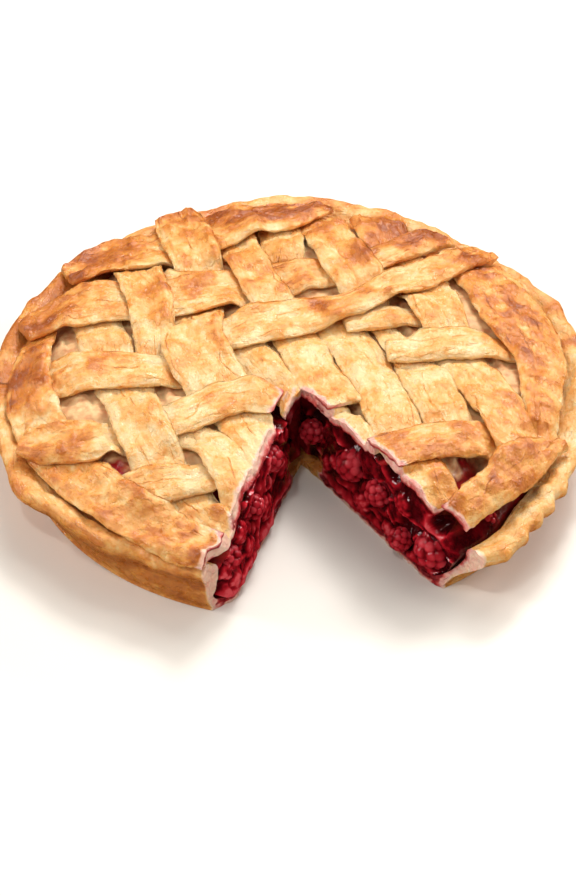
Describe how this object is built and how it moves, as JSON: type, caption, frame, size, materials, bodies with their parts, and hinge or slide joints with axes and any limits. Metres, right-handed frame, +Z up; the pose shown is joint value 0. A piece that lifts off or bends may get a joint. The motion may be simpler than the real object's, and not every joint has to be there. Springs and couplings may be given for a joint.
{
  "type": "raspberry lattice pie",
  "caption": "Round fruit pie with a woven pastry lattice over raspberry filling, a flared crust and one slice missing.",
  "frame": {"origin": "centre of the pie's round, flat underside, at the height of the surface it stands on", "axes": "+Z up through the lattice; the missing slice opens towards -Y; +X to the right with the slice in front"},
  "size_m": [0.2197, 0.2167, 0.0445],
  "materials": {
    "base_crust": "baked shortcrust pastry, satin to matte, browned along the rim",
    "lattice": "egg-washed baked pastry, soft sheen, pale gold with browned patches",
    "filling": "wet glossy dark crimson fruit and juice",
    "berry": "wet glossy raspberry red"
  },
  "bodies": {
    "root": {"base_crust": "base_crust", "filling": "filling", "berry_1": "berry", "berry_2": "berry", "berry_3": "berry", "berry_4": "berry", "berry_5": "berry", "berry_6": "berry", "berry_7": "berry", "berry_8": "berry", "berry_9": "berry", "strip_down_1": "lattice", "strip_down_2": "lattice", "strip_down_3": "lattice", "strip_down_4": "lattice", "strip_down_5": "lattice", "strip_down_6": "lattice", "strip_down_6_tip": "lattice", "strip_down_7": "lattice", "strip_down_8": "lattice", "strip_down_9": "lattice", "strip_down_10": "lattice", "strip_down_top": "lattice", "strip_across_a": "lattice", "strip_across_b": "lattice", "strip_across_c": "lattice", "strip_across_d": "lattice", "strip_across_d_mid": "lattice", "strip_across_d_right": "lattice", "strip_across_e": "lattice", "strip_across_e_right": "lattice", "strip_across_f": "lattice", "strip_across_f_right": "lattice"}
  },
  "joints": []
}
